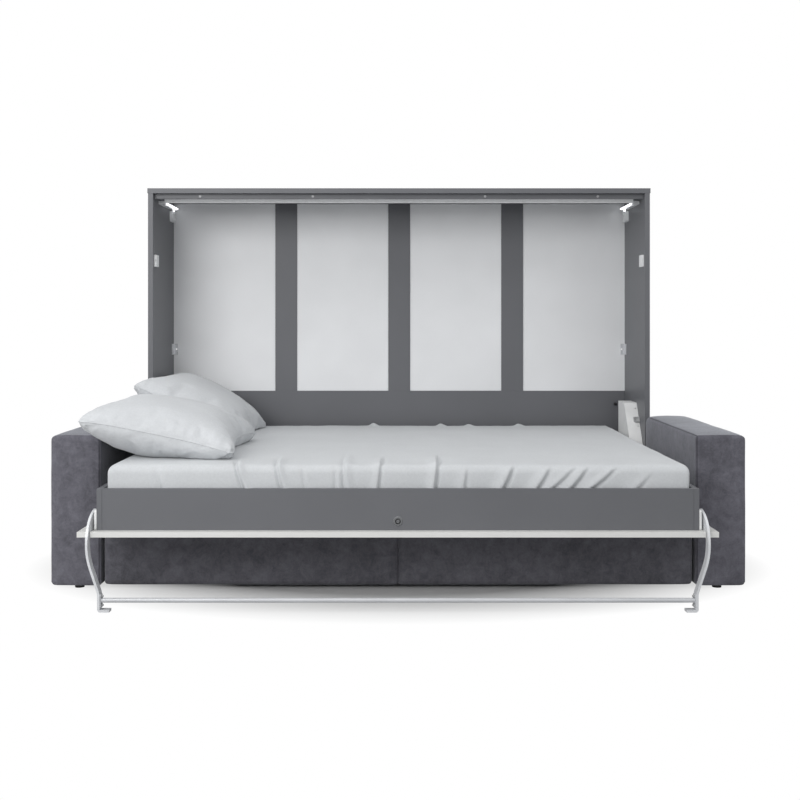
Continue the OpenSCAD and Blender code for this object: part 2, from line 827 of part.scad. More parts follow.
hook_top = 47; // height of the arm's top above the pivot

// Points of a quadratic curve from a to c, drawn towards b.
function curve(a, b, c, steps) =
    [for (i = [0 : steps]) let (t = i / steps) a * (1 - t) * (1 - t) + b * 2 * t * (1 - t) + c * t * t];

// The leg's curved top arm, seen from the side: forward of the pivot is to the left.
function hook_outline() = concat(
    [[-leg_reach + leg_w, leg_bend_z - leg_pivot_z]],
    [[-leg_reach, leg_bend_z - leg_pivot_z]],
    curve([-leg_reach, leg_bend_z - leg_pivot_z + 2], [-leg_reach + 4, hook_top - 17], [4, hook_top], 12),
    [[13, hook_top - 4], [18, hook_top - 12], [10, 4], [6, -11], [-4, -28]],
    [[-leg_reach + leg_w + 6, -36], [-leg_reach + leg_w, -45]]
);

// The leg's bar below the hook, as points down its middle in the front view.
function leg_path() = concat(
    [[leg_x_mid, leg_bend_z]],
    [for (a = [3 : 3 : leg_slope]) [leg_x_mid - leg_arc_r * (1 - cos(a)), leg_bend_z - leg_arc_r * sin(a)]],
    [[leg_x_mid - arc_in, leg_bend_z - arc_drop]],
    [[leg_x_mid - arc_in - slope_in, leg_bend_z - arc_drop - slope_drop]],
    [for (a = [leg_slope - 6 : -6 : 0.1])
        [shin_x + ankle_r * (1 - cos(a)), ankle_z + ankle_r * sin(a)]],
    [[shin_x, ankle_z]],
    [for (a = [0 : 15 : 90])
        [shin_x - (foot_r - leg_t / 2) * (1 - cos(a)), foot_r - (foot_r - leg_t / 2) * sin(a)]],
    [[shin_inner_x - foot_l, leg_t / 2]]
);

function unit(v) = v / norm(v);

// Directions along a path, one for each of its points.
function path_dirs(p) = [for (i = [0 : len(p) - 1]) unit(p[min(i + 1, len(p) - 1)] - p[max(i - 1, 0)])];

function offset_path(p, side) =
    let (d = path_dirs(p)) [for (i = [0 : len(p) - 1]) p[i] + side * [-d[i][1], d[i][0]]];

function reversed(p) = [for (i = [len(p) - 1 : -1 : 0]) p[i]];

leg_bolt_zs = [tube_z - bolt_below_tube, tube_z + bolt_above_tube];
leg_bolt_d = 6;
bolt_head_d = 9;
bolt_head_t = 1.5;
nut_d = 11; // over the nut's corners
nut_t = 4;
dome_d = 8;

module leg(side) {
    path = leg_path();
    color(steel) placed() on_side(side) difference() {
        union() {
            plate_x(leg_x, leg_outer_x) translate([leg_pivot_y, leg_pivot_z]) polygon(hook_outline());
            rod_x(28, leg_x, leg_outer_x, leg_pivot_y, leg_pivot_z);
            plate_y(leg_front_y, leg_front_y + leg_w)
                polygon(concat(offset_path(path, leg_t / 2), reversed(offset_path(path, -leg_t / 2))));
        }
        rod_x(leg_pin_d + 2 * pin_clear, leg_x - 1, leg_outer_x + 1, leg_pivot_y, leg_pivot_z);
        for (z = leg_bolt_zs)
            rod_x(leg_bolt_d + 0.2, shin_inner_x - 1, shin_x + leg_t, leg_mid_y, z);
    }
}

bracket_w = 70;
bracket_h = 69;

// The bracket on the bed's end board, with the pin that the leg turns on.
module leg_bracket(side) {
    color(white) placed() on_side(side) {
        difference() {
            plate_x(frame_half, bracket_x)
                round_rect([frame_front_y, frame_z + 0.5],
                           [frame_front_y + bracket_w, frame_z + bracket_h], 5);
            for (z = [14, 46])
                rod_x(7, bracket_x - 3, bracket_x + 1, frame_front_y + 14, frame_z + z);
        }
        rod_x(leg_pin_d + 8, bracket_x, leg_x - 0.4, leg_pivot_y, leg_pivot_z);
        rod_x(leg_pin_d, bracket_x, leg_outer_x + 1, leg_pivot_y, leg_pivot_z);
        rod_x(leg_pin_d + 8, leg_outer_x + 0.4, leg_outer_x + 4, leg_pivot_y, leg_pivot_z);
    }
}

flange_t = 3;
head_gap = 0.1; // the bolts' heads stand this far off the leg

// The tube between the legs, with a bolted flange at each end.
module leg_tube() {
    flange_x = shin_inner_x - flange_t;
    color(steel) placed() {
        difference() {
            rod_x(tube_d, -flange_x - 1, flange_x + 1, leg_mid_y, tube_z);
            rod_x(tube_d - 3, -flange_x, flange_x, leg_mid_y, tube_z);
        }
        both_sides() difference() {
            plate_x(flange_x, shin_inner_x)
                round_rect([leg_mid_y - 12, leg_bolt_zs[0] - 8], [leg_mid_y + 12, leg_bolt_zs[1] + 8], 5);
            for (z = leg_bolt_zs)
                rod_x(leg_bolt_d + 0.2, flange_x - 1, shin_inner_x + 1, leg_mid_y, z);
        }
    }
}

// Bolts through leg and flange, each with a domed nut inside and a flat head outside.
module leg_bolts() {
    flange_x = shin_inner_x - flange_t;
    head_x = shin_x + leg_t / 2 + head_gap;
    color(steel) placed() both_sides()
        for (z = leg_bolt_zs) {
            rod_x(leg_bolt_d, flange_x - nut_t, head_x, leg_mid_y, z);
            translate([flange_x - nut_t, leg_mid_y, z]) rotate([0, 90, 0])
                cylinder(d = nut_d, h = nut_t, $fn = 6);
            translate([flange_x - nut_t + 0.5, leg_mid_y, z]) sphere(d = dome_d);
            rod_x(bolt_head_d, head_x, head_x + bolt_head_t, leg_mid_y, z);
        }
}

// ---- sofa ----

seat_end_gap = 9; // between a seat's outer end and the armrest

module armrest(side) {
    color(velvet) placed() on_side(side)
        soft_box([arm_x0, -sofa_d, glide_h], [arm_x0 + arm_w, -touch, arm_h], sofa_r, sofa_r);
}

module seat(side) {
    color(velvet) placed() on_side(side)
        soft_box([touch, seat_front_y, glide_h], [arm_x0 - seat_end_gap, -touch, seat_top], seat_r, sofa_r);
}

glide_in = 34; // distance of a glide's middle from the back of its piece, and from an armrest's front
seat_glide_in = 170; // distance of the seat's front glides from its front
link_t = 4;
link_w = 40;
link_reach = 60;
link_in = 200; // from the front and back of a seat to each plate's middle

// The glides, and the flat plates that join each armrest to its seat underneath.
module glides() {
    seat_w = arm_x0 - seat_end_gap - touch;
    color([0.04, 0.04, 0.04]) placed() both_sides() {
        for (y = [-sofa_d + glide_in, -glide_in])
            translate([arm_x0 + arm_w / 2 - 5, y, 0]) cylinder(d = glide_d, h = glide_h);
        for (x = [60, seat_w - 60], y = [seat_front_y + seat_glide_in, -glide_in])
            translate([x, y, 0]) cylinder(d = glide_d, h = glide_h);
        for (y = [seat_front_y + link_in, -link_in])
            block([seat_w + touch - link_reach, y - link_w / 2, glide_h - touch - link_t],
                  [arm_x0 + link_reach, y + link_w / 2, glide_h - touch]);
    }
}

// ---- nodes ----

side_panel(-1);  // side_panel_left
side_panel(1);  // side_panel_right
top_board();
base_rail();
back_rail();
back_stile(stile_xs[0]);  // back_stile_left
back_stile(stile_xs[1]);  // back_stile_centre
back_stile(stile_xs[2]);  // back_stile_right
back_panel(-inner_half, stile_xs[0] - stile_w / 2);  // back_panel_outer_left
back_panel(stile_xs[0] + stile_w / 2, -stile_w / 2);  // back_panel_inner_left
back_panel(stile_w / 2, stile_xs[2] - stile_w / 2);  // back_panel_inner_right
back_panel(stile_xs[2] + stile_w / 2, inner_half);  // back_panel_outer_right
top_rail();
rail_screws();
light_rail();
light_arm(-1);  // light_arm_left
light_arm(1);  // light_arm_right
light_diffusers();
hanger_bracket(-1);  // hanger_bracket_left
hanger_bracket(1);  // hanger_bracket_right
corner_bracket(-1);  // corner_bracket_left
corner_bracket(1);  // corner_bracket_right
closing_stops();
cable_gland();
hinge_plate(-1);  // hinge_plate_left
hinge_plate(1);  // hinge_plate_right
hinge_pins();
mechanism_cover(-1);  // mechanism_cover_left
mechanism_cover(1);  // mechanism_cover_right
cover_clips();
armrest(-1);  // armrest_left
armrest(1);  // armrest_right
seat(-1);  // seat_left
seat(1);  // seat_right
glides();
front_panel();
frame_front_board();
frame_back_board();
frame_end(-1);  // frame_end_left
frame_end(1);  // frame_end_right
slat_bearers();
slats();
mattress();
pillow_front();
pillow_back();
hinge_arm(-1);  // hinge_arm_left
hinge_arm(1);  // hinge_arm_right
leg_bracket(-1);  // leg_bracket_left
leg_bracket(1);  // leg_bracket_right
catch_ring();
catch_button();
leg(-1);  // leg_left
leg(1);  // leg_right
leg_tube();
leg_bolts();
gas_cylinder(-1);  // gas_cylinder_left
gas_cylinder(1);  // gas_cylinder_right
gas_rod(-1);  // gas_rod_left
gas_rod(1);  // gas_rod_right
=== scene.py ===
import json
import math

import bmesh
import bpy
import numpy as np
from mathutils import Matrix, Vector, noise


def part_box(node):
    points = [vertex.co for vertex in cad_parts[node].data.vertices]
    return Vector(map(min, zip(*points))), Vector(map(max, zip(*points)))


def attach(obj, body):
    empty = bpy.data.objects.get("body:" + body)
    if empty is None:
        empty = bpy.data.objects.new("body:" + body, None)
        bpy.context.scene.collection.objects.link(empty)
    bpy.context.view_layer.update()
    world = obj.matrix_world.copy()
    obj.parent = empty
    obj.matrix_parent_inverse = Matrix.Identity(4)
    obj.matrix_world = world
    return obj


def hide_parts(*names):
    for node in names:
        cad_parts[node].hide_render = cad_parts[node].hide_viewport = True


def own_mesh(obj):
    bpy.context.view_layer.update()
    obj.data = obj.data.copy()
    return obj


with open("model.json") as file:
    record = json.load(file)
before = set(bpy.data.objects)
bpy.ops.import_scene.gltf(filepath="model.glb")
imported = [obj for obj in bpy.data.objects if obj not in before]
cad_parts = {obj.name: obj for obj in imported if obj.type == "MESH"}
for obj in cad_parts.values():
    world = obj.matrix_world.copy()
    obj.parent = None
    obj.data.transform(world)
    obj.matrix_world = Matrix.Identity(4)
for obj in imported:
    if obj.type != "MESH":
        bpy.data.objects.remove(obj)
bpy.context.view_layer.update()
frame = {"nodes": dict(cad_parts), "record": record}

scene = bpy.context.scene
nodes = frame["nodes"]
record = frame["record"]


# ---------------------------------------------------------------- camera, light, floor

# A level camera straight in front, with its picture shifted down to the object
CAMERA_AT = (0.015, -4.2525, 0.9716)
LENS, SENSOR_WIDTH = 46.65, 36.0
SHIFT_X, SHIFT_Y = -0.0029, -0.0956
WORLD_LIGHT = 0.58

camera_data = bpy.data.cameras.new("camera")
camera_data.lens = LENS
camera_data.sensor_width = SENSOR_WIDTH
camera_data.shift_x = SHIFT_X
camera_data.shift_y = SHIFT_Y
camera = bpy.data.objects.new("camera", camera_data)
camera.location = CAMERA_AT
camera.rotation_euler = (math.pi / 2, 0.0, 0.0)
scene.collection.objects.link(camera)
scene.camera = camera
scene.view_settings.view_transform = "Standard"


def area_light(name, location, target, size, power):
    """A soft rectangular lamp at location that looks at target."""
    data = bpy.data.lights.new(name, "AREA")
    data.shape = "RECTANGLE"
    data.size, data.size_y = size
    data.energy = power
    lamp = bpy.data.objects.new(name, data)
    lamp.location = location
    aim = Vector(target) - Vector(location)
    lamp.rotation_euler = aim.to_track_quat("-Z", "Y").to_euler()
    scene.collection.objects.link(lamp)


area_light("lamp_top", (0.0, -1.2, 3.9), (0.0, -0.3, 0.3), (4.5, 3.0), 38.0)
area_light("lamp_front", (-2.5, -4.1, 2.5), (0.0, 0.2, 0.6), (3.0, 2.0), 96.0)

world = bpy.data.worlds.new("world")
scene.world = world
world.use_nodes = True
tree = world.node_tree
tree.nodes.clear()


def background(color, strength):
    made = tree.nodes.new("ShaderNodeBackground")
    made.inputs["Color"].default_value = (*color, 1.0)
    made.inputs["Strength"].default_value = strength
    return made.outputs[0]


def either(a, b):
    made = tree.nodes.new("ShaderNodeMath")
    made.operation = "MAXIMUM"
    tree.links.new(a, made.inputs[0])
    tree.links.new(b, made.inputs[1])
    return made.outputs[0]


# A soft, slightly cool world lights the object. It is pure white where it is seen, also in a mirror
# or through glass.
rays = tree.nodes.new("ShaderNodeLightPath").outputs
seen = either(either(rays["Is Camera Ray"], rays["Is Glossy Ray"]), rays["Is Transmission Ray"])
mix = tree.nodes.new("ShaderNodeMixShader")
out = tree.nodes.new("ShaderNodeOutputWorld")
tree.links.new(seen, mix.inputs["Fac"])
tree.links.new(background((0.97, 0.985, 1.0), WORLD_LIGHT), mix.inputs[1])
tree.links.new(background((1.0, 1.0, 1.0), 1.0), mix.inputs[2])
tree.links.new(mix.outputs[0], out.inputs["Surface"])


# ---------------------------------------------------------------- materials

# The colour sockets of a Mix node, which share their names with its other sockets
MIX_A, MIX_B, MIX_RESULT = 6, 7, 2


class Paint:
    """A Principled material, with short ways to add the nodes that carry its detail."""

    def __init__(self, name, color, roughness, **sockets):
        self.material = bpy.data.materials.new(name)
        self.material.use_nodes = True
        self.tree = self.material.node_tree
        self.shader = self.tree.nodes["Principled BSDF"]
        self.shader.inputs["Base Color"].default_value = (*color, 1.0)
        self.shader.inputs["Roughness"].default_value = roughness
        for key, value in sockets.items():
            self.shader.inputs[key.replace("_", " ")].default_value = value
        self.place = self.node("ShaderNodeTexCoord").outputs["Object"]
        self.height = None

    def node(self, kind, **settings):
        made = self.tree.nodes.new(kind)
        for key, value in settings.items():
            setattr(made, key, value)
        return made

    def link(self, a, b):
        self.tree.links.new(a, b)

    def stretched(self, scale, place=None):
        """The place, or another vector, with each axis scaled."""
        mapping = self.node("ShaderNodeMapping")
        mapping.inputs["Scale"].default_value = scale
        self.link(place or self.place, mapping.inputs["Vector"])
        return mapping.outputs["Vector"]

    def noise(self, scale, detail=3.0, rough=0.5, distortion=0.0, vector=None):
        made = self.node("ShaderNodeTexNoise")
        made.inputs["Scale"].default_value = scale
        made.inputs["Detail"].default_value = detail
        made.inputs["Roughness"].default_value = rough
        made.inputs["Distortion"].default_value = distortion
        self.link(vector or self.place, made.inputs["Vector"])
        return made.outputs["Fac"]

    def ramp(self, value, low, high, a, b):
        """value from low..high to a..b, clamped."""
        made = self.node("ShaderNodeMapRange")
        self.link(value, made.inputs["Value"])
        made.inputs["From Min"].default_value = low
        made.inputs["From Max"].default_value = high
        made.inputs["To Min"].default_value = a
        made.inputs["To Max"].default_value = b
        return made.outputs["Result"]

    def math(self, operation, a, b):
        made = self.node("ShaderNodeMath", operation=operation)
        for i, v in enumerate((a, b)):
            if isinstance(v, (int, float)):
                made.inputs[i].default_value = v
            else:
                self.link(v, made.inputs[i])
        return made.outputs[0]

    def weighted(self, *pairs):
        """The sum of values, each times its weight."""
        parts = [self.math("MULTIPLY", value, weight) for value, weight in pairs]
        total = parts[0]
        for part in parts[1:]:
            total = self.math("ADD", total, part)
        return total

    def tint(self, value, dark, light):
        """Base colour between two colours by value."""
        made = self.node("ShaderNodeMix", data_type="RGBA")
        self.link(value, made.inputs["Factor"])
        made.inputs[MIX_A].default_value = (*dark, 1.0)
        made.inputs[MIX_B].default_value = (*light, 1.0)
        self.link(made.outputs[MIX_RESULT], self.shader.inputs["Base Color"])

    def rough(self, value, low, high):
        self.link(self.ramp(value, 0.3, 0.7, low, high), self.shader.inputs["Roughness"])

    def bump(self, value, depth, strength=1.0):
        """Adds a relief of this depth in metres."""
        made = self.node("ShaderNodeBump")
        made.inputs["Distance"].default_value = depth
        made.inputs["Strength"].default_value = strength
        self.link(value, made.inputs["Height"])
        if self.height is not None:
            self.link(self.height, made.inputs["Normal"])
        self.height = made.outputs["Normal"]
        self.link(self.height, self.shader.inputs["Normal"])


def shade(color, factor):
    return tuple(min(1.0, c * factor) for c in color)


def board(name, color, roughness=0.42):
    """Melamine board: a fine pressed grain under a matt surface."""
    p = Paint(name, color, roughness, Specular_IOR_Level=0.4)
    cloud = p.noise(3.0, 2.0)
    grain = p.noise(900.0, 2.0, 0.6)
    mixed = p.weighted((cloud, 0.6), (grain, 0.4))
    p.tint(p.ramp(mixed, 0.35, 0.65, 0.0, 1.0), shade(color, 0.955), shade(color, 1.045))
    p.rough(grain, roughness - 0.05, roughness + 0.05)
    p.bump(grain, 0.00006)
    return p


LIGHTEST = 1.4  # of the velvet's marks, by its colour
THREAD = 0.0007  # of the cotton, in metres
WAVE_LENGTH = 0.314  # of Blender's wave texture, at scale 1


def velvet(name, color):
    """Short-pile velvet: clouds and marks where the pile lies each way, and painted shade along its
    sewn groove.
    """
    tint = (0.76, 0.785, 0.82, 1.0)
    sheen = {"Sheen_Weight": 0.75, "Sheen_Roughness": 0.34, "Sheen_Tint": tint}
    p = Paint(name, color, 0.92, Specular_IOR_Level=0.12, **sheen)
    cloud = p.noise(5.0, 6.0, 0.7, 0.3)
    marks = p.noise(24.0, 8.0, 0.8, 0.6)
    streak = p.noise(1.0, 6.0, 0.75, 0.4, p.stretched((52.0, 52.0, 26.0)))
    pile = p.noise(420.0, 3.0, 0.7)
    grain = p.noise(150.0, 4.0, 0.8)
    fine = p.math("ADD", pile, grain)
    brushed = p.weighted((cloud, 0.34), (marks, 0.40), (streak, 0.14), (fine, 0.12))
    shade_by = p.ramp(brushed, 0.48, 0.66, 0.72, 1.36)
    # Painted shade: the seam attribute darkens the base colour along the sewn groove.
    sewn = p.node("ShaderNodeAttribute", attribute_name="seam").outputs["Fac"]
    shaded = p.math("MULTIPLY", shade_by, p.ramp(sewn, 0.0, 1.0, 1.0, 0.38))
    p.tint(p.ramp(shaded, 0.0, LIGHTEST, 0.0, 1.0), (0.0, 0.0, 0.0), shade(color, LIGHTEST))
    p.bump(pile, 0.0005, 0.6)
    p.bump(marks, 0.0012, 0.5)
    return p


def cotton(name, color):
    """Plain-woven cotton: threads over and under, with faint slubs."""
    p = Paint(name, color, 0.88, Sheen_Weight=0.12, Sheen_Roughness=0.5, Specular_IOR_Level=0.2)
    waves = []
    for direction in ("X", "Y", "Z"):
        wave = p.node("ShaderNodeTexWave", bands_direction=direction)
        wave.inputs["Scale"].default_value = WAVE_LENGTH / THREAD / 2
        wave.inputs["Distortion"].default_value = 0.6
        wave.inputs["Detail"].default_value = 1.0
        p.link(p.place, wave.inputs["Vector"])
        waves.append(wave.outputs["Fac"])
    weave = p.math("MULTIPLY", p.math("ADD", waves[0], waves[1]), p.math("ADD", waves[2], 0.6))
    slub = p.noise(1.0, 4.0, 0.7, 0.4, p.stretched((130.0, 130.0, 130.0)))
    cloud = p.noise(6.0, 3.0)
    mixed = p.weighted((slub, 0.7), (cloud, 0.3))
    p.tint(p.ramp(mixed, 0.32, 0.68, 0.0, 1.0), shade(color, 0.94), shade(color, 1.05))
    p.bump(weave, 0.00012, 0.7)
    p.bump(slub, 0.0004, 0.5)
    return p


def powder(name, color, roughness, metallic=0.0):
    """Powder coat: a fine orange peel."""
    p = Paint(name, color, roughness, Metallic=metallic)
    peel = p.noise(620.0, 2.0)
    dust = p.noise(14.0, 4.0)
    p.tint(p.ramp(dust, 0.3, 0.7, 0.0, 1.0), shade(color, 0.95), shade(color, 1.04))
    p.rough(dust, roughness - 0.06, roughness + 0.06)
    p.bump(peel, 0.00008)
    return p


def plated(name, color, roughness, stretch):
    """Bare or plated metal, drawn along one way."""
    p = Paint(name, color, roughness, Metallic=1.0)
    drawn = p.noise(1.0, 4.0, 0.6, 0.0, p.stretched(stretch))
    stain = p.noise(22.0, 3.0)
    p.tint(p.ramp(stain, 0.3, 0.7, 0.0, 1.0), shade(color, 0.9), shade(color, 1.05))
    p.rough(drawn, roughness - 0.08, roughness + 0.08)
    p.bump(drawn, 0.00004)
    return p


def moulded(name, color, roughness):
    """Moulded plastic with a spark-eroded grain."""
    p = Paint(name, color, roughness)
    grain = p.noise(1100.0, 2.0)
    flow = p.noise(18.0, 2.0)
    p.tint(p.ramp(flow, 0.3, 0.7, 0.0, 1.0), shade(color, 0.94), shade(color, 1.05))
    p.rough(grain, roughness - 0.05, roughness + 0.07)
    p.bump(grain, 0.00005)
    return p


def timber(name, color, stretch):
    """Plain beech or birch: fine straight grain with short dark flecks."""
    p = Paint(name, color, 0.5)
    grain = p.noise(1.0, 6.0, 0.65, 0.5, p.stretched(stretch))
    fleck = p.noise(1.0, 2.0, 0.5, 0.0, p.stretched(tuple(6.0 * s for s in stretch)))
    mixed = p.weighted((grain, 0.75), (fleck, 0.25))
    p.tint(p.ramp(mixed, 0.33, 0.67, 0.0, 1.0), shade(color, 0.72), shade(color, 1.15))
    p.rough(grain, 0.42, 0.58)
    p.bump(grain, 0.0002)
    return p


def dished(name, color):
    """A round button facing front: its own grey in the middle, and painted shade in the groove
    round it.
    """
    p = Paint(name, color, 0.3)
    flat = p.stretched((1.0, 0.0, 1.0), p.node("ShaderNodeTexCoord").outputs["Generated"])
    away = p.node("ShaderNodeVectorMath", operation="DISTANCE")
    away.inputs[1].default_value = (0.5, 0.0, 0.5)
    p.link(flat, away.inputs[0])
    # Painted shade: darker towards the rim, in the groove round the button.
    p.tint(p.ramp(away.outputs["Value"], 0.24, 0.36, 0.0, 1.0), color, shade(color, 0.3))
    p.bump(p.noise(300.0, 3.0), 0.0001, 0.4)
    return p


def glowing(name, color, strength):
    """A lit strip, or the rail that it lights, whose faint glow there is painted light, with the
    dots of lamps faintly seen.
    """
    p = Paint(name, color, 0.4, Emission_Color=(*color, 1.0), Emission_Strength=strength)
    dots = p.noise(60.0, 1.0)
    p.tint(p.ramp(dots, 0.3, 0.7, 0.0, 1.0), shade(color, 0.9), color)
    return p


PAINTS = {
    "laminate": board("laminate", (0.146, 0.149, 0.160)),
    "white_board": board("white_board", (0.87, 0.875, 0.885), 0.4),
    "screw_steel": plated("screw_steel", (0.46, 0.465, 0.47), 0.62, (300.0, 300.0, 300.0)),
    # The rail's faint glow is painted light: it stands in for the light that falls on it in the
    # shade of the top.
    "light_profile": glowing("light_profile", (0.86, 0.87, 0.88), 0.14),
    "white_plastic": moulded("white_plastic", (0.88, 0.885, 0.89), 0.34),
    "diffuser": glowing("diffuser", (0.95, 0.97, 1.0), 1.8),
    "zinc_steel": plated("zinc_steel", (0.66, 0.67, 0.69), 0.34, (160.0, 160.0, 20.0)),
    "white_steel": powder("white_steel", (0.87, 0.872, 0.865), 0.42),
    "silver_paint": powder("silver_paint", (0.74, 0.75, 0.77), 0.34, 0.12),
    "black_paint": powder("black_paint", (0.018, 0.018, 0.02), 0.25),
    "black_plastic": moulded("black_plastic", (0.014, 0.014, 0.015), 0.42),
    "velvet": velvet("velvet", (0.146, 0.143, 0.166)),
    "sheet_cotton": cotton("sheet_cotton", (0.640, 0.655, 0.668)),
    "pillow_cotton": cotton("pillow_cotton", (0.66, 0.674, 0.69)),
    "bed_wood": timber("bed_wood", (0.56, 0.43, 0.28), (60.0, 4.0, 60.0)),
    "catch_grey": moulded("catch_grey", (0.160, 0.163, 0.170), 0.22),
}

# How far the edges of boards and plates are rounded, in metres, by slot
EDGED = {"laminate": 0.0008, "white_board": 0.0008, "white_steel": 0.0005, "bed_wood": 0.0012}
EDGE_ANGLE = math.radians(50)
EDGE_SEGMENTS = 2
SAME_POINT = 0.00002
# Rounding the edges of these boards would mark their faces between the holes.
SHARP = ("back_panel_outer", "frame_front_board")

# Nodes painted apart from the rest of their slot. The front panel's white is warmer than the
# back's,
# and darker: painted shade against the stronger light that falls on it.
OWN_PAINT = {
    # A darker copy of the white board as painted shade, and warmer.
    "front_panel": board("front_board", (0.775, 0.77, 0.75), 0.4),
    "catch_button": dished("catch_dish_painted_shade", (0.20, 0.203, 0.21)),
    # The leg tube is a darker copy of the legs' silver paint: painted shade for its low place near
    # the floor.
    "leg_tube": powder("tube_painted_shade", (0.60, 0.61, 0.63), 0.34, 0.12),
    # The cover clips are white; their mid grey is painted shade for the groove and shadow in and
    # round them.
    "cover_clips": moulded("clip_painted_shade", (0.42, 0.425, 0.43), 0.4),
}

for part in record["subparts"]:
    shown = nodes[part["node"]]
    slot_name = part["material_slot"]
    shown.data.materials.clear()
    shown.data.materials.append(OWN_PAINT.get(part["node"], PAINTS[slot_name]).material)
    if slot_name in EDGED and not part["node"].startswith(SHARP):
        weld = shown.modifiers.new("weld", "WELD")
        weld.merge_threshold = SAME_POINT
        edge = shown.modifiers.new("edge", "BEVEL")
        edge.width = EDGED[slot_name]
        edge.segments = EDGE_SEGMENTS
        edge.limit_method = "ANGLE"
        edge.angle_limit = EDGE_ANGLE
        edge.harden_normals = True


# ---------------------------------------------------------------- shapes


def piece(name, verts, faces, slot_name, body):
    """A smooth mesh piece of the object, in the shared frame."""
    mesh = bpy.data.meshes.new(name)
    mesh.from_pydata([tuple(v) for v in verts], [], [tuple(int(i) for i in f) for f in faces])
    mesh.validate()
    mesh.materials.append(PAINTS[slot_name].material)
    mesh.polygons.foreach_set("use_smooth", [True] * len(mesh.polygons))
    made = bpy.data.objects.new(name, mesh)
    scene.collection.objects.link(made)
    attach(made, body)
    return made


def spaced(low, high, pitch):
    """Even steps from low to high, about pitch apart."""
    return np.linspace(low, high, max(5, int(round((high - low) / pitch)) + 1))


def box_grid(axes):
    """Points and quads of a box's skin, through the given coordinates on each axis."""
    count = [len(a) for a in axes]
    skin = np.zeros(count, bool)
    sides = [(axis, side) for axis in range(3) for side in (0, -1)]
    cut = {}
    for axis, side in sides:
        part = [slice(None)] * 3
        part[axis] = side
        cut[axis, side] = tuple(part)
        skin[cut[axis, side]] = True
    where = np.argwhere(skin)
    index = np.zeros(count, int)
    index[skin] = np.arange(len(where))
    points = np.column_stack([axes[n][where[:, n]] for n in range(3)])
    faces = []
    for axis, side in sides:
        sheet = index[cut[axis, side]]
        sheet = sheet.T if axis == 1 else sheet
        corners = [sheet[:-1, :-1], sheet[1:, :-1], sheet[1:, 1:], sheet[:-1, 1:]]
        quads = np.stack(corners, -1).reshape(-1, 4)
        faces.append(quads if side else quads[:, ::-1])
    return points, np.concatenate(faces)


def rounded(points, lo, hi, low_r, high_r, square=2.0):
    """The points moved onto a box with rounded edges, and the way out at each.

    low_r and high_r are the radii at the box's low and high sides, one per axis. A larger square
    makes the upright corners tighter."""
    lo, hi, low_r, high_r = (np.array(v, float) for v in (lo, hi, low_r, high_r))
    radius = np.where(points < (lo + hi) / 2, low_r, high_r)
    inner = np.clip(points, lo + low_r, hi - high_r)
    away = (points - inner) / radius
    plan = (np.abs(away[:, 0]) ** square + np.abs(away[:, 1]) ** square) ** (1.0 / square)
    length = np.hypot(plan, away[:, 2])
    away = away / np.maximum(length, 1e-9)[:, None]
    outward = away / radius
    outward /= np.maximum(np.linalg.norm(outward, axis=1), 1e-9)[:, None]
    return inner + away * radius, outward


def smoothstep(a, b, x):
    """0 up to a and 1 past b, and smooth between. It falls where a is more than b."""
    t = np.clip((x - a) / (b - a), 0.0, 1.0)
    return t * t * (3.0 - 2.0 * t)


SEED_STEPS = (7.31, 3.17, 5.53)  # how far a seed moves the noise


def wander(points, *waves):
    """Smooth noise at each point: the sum of waves, each with a scale, a height and a seed."""
    total = 0.0
    for scale, height, seed in waves:
        shift = Vector([seed * step for step in SEED_STEPS])
        total = total + np.array([noise.noise(Vector(p) * scale + shift) for p in points]) * height
    return total


# ---------------------------------------------------------------- mattress in its fitted sheet

# Folds of the sheet: x at the top edge, x where it meets the frame, reach back over the top
# (or how far down it starts, if negative), height, width
FOLDS = [
    (-0.827, -0.797, -0.03, 0.0040, 0.012),
    (-0.548, -0.515, 0.13, 0.0095, 0.010),
    (-0.411, -0.386, 0.19, 0.0085, 0.009),
    (-0.319, -0.305, -0.02, 0.0045, 0.010),
    (-0.207, -0.205, -0.01, 0.0045, 0.008),
    (-0.180, -0.172, 0.30, 0.0058, 0.009),
    (-0.064, -0.076, 0.20, 0.0062, 0.009),
    (0.131, 0.119, 0.28, 0.0085, 0.009),
    (0.232, 0.221, -0.03, 0.0045, 0.010),
    (0.390, 0.347, -0.01, 0.0078, 0.013),
    (0.519, 0.463, -0.02, 0.0068, 0.013),
    (0.605, 0.508, -0.02, 0.0055, 0.012),
    (0.648, 0.576, -0.02, 0.0070, 0.013),
    (0.748, 0.641, -0.02, 0.0068, 0.014),
    (0.880, 0.803, -0.05, 0.0040, 0.014),
]
# Puckers along the back edge: x, height
PUCKERS = [(-0.132, 0.013), (0.187, 0.012), (0.320, 0.008), (0.557, 0.010)]
SHEET_FRONT = 0.092  # the height of the sheet that shows above the frame
SHEET_PLUMP = 0.003  # how far it stands above the mattress
SHEET_WIDER = 0.004  # and past its right end
SHEET_SUNK = 0.001  # how far it lies in between its folds
SHEET_LOW = (0.030, 0.030, 0.020)  # the radii of its edges at the low x, y and z sides
SHEET_HIGH = (0.030, 0.030, 0.031)
SHEET_SQUARE = 5.0
# A fold fades out down the front and back over the top. Its line bends, and it widens both ways.
FOLD_HEIGHT = 1.25
FOLD_END, FOLD_FADE = 0.175, 0.14
FOLD_BACK, FOLD_BACK_FADE = 0.36, 0.30
FOLD_BEND, FOLD_BEND_BACK = 0.3, 0.15
FOLD_WIDER, FOLD_WIDER_BACK = 0.35, 0.5
# Its ridge's two sides and its groove, in widths of the fold
STEEP, GENTLE = 0.42, 1.7
GROOVE_DEPTH, GROOVE_AT, GROOVE_WIDE = 0.6, 1.05, 0.5
PUCKER_REACH, PUCKER_LEAN = 0.10, 0.35
PUCKER_WIDE, PUCKER_WIDER = 0.012, 0.12
# The mesh is finest across the folds, and fine over this much of the front and of the back.
ACROSS, FINE, COARSE = 0.0038, 0.006, 0.02
FINE_FRONT, FINE_BACK = 0.30, 0.09


